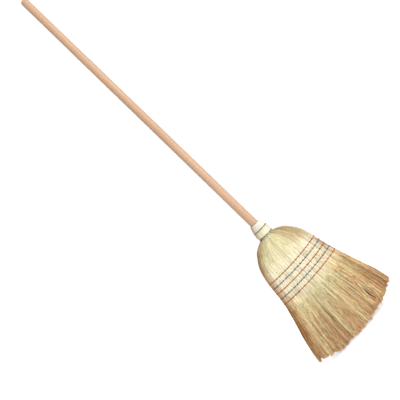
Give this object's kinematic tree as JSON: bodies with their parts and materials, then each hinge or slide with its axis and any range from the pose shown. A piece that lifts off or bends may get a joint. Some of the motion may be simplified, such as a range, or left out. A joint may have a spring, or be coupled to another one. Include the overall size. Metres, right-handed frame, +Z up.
{
  "type": "curling broom",
  "caption": "Corn-straw curling broom with a long round wooden handle, a wired neck and a flat, stitched, fan-shaped straw head.",
  "frame": {"origin": "on the floor under the middle of the broom's box, with the broom standing upright on its straw tips", "axes": "+Z up along the handle, +X across the sweep to the right seen from the front, +Y from the front to the back"},
  "size_m": [0.2928, 0.076, 1.4],
  "materials": {
    "handle_wood": "bare turned beech, satin",
    "cover_straw": "dry sorghum straw, matt",
    "inner_straw": "dry sorghum straw, matt",
    "leaf_sheath": "dry pale leaf",
    "steel_wire": "zinc-coated wire",
    "red_twine": "twisted synthetic twine",
    "blue_twine": "twisted synthetic twine"
  },
  "bodies": {
    "root": {"handle": "handle_wood", "anchor_nail": "steel_wire", "core_bundle": "inner_straw", "core_wire": "steel_wire", "shoulder_bundle_left": "inner_straw", "shoulder_bundle_right": "inner_straw", "shoulder_wire": "steel_wire", "front_cover": "cover_straw", "back_cover": "cover_straw", "neck_sheath": "leaf_sheath", "neck_husk": "leaf_sheath", "neck_wire_upper": "steel_wire", "neck_wire_lower": "steel_wire", "stitch_row_1": "red_twine", "stitch_row_2": "blue_twine", "stitch_row_3": "red_twine", "stitch_row_4": "blue_twine", "stitch_row_5": "red_twine"}
  },
  "joints": []
}
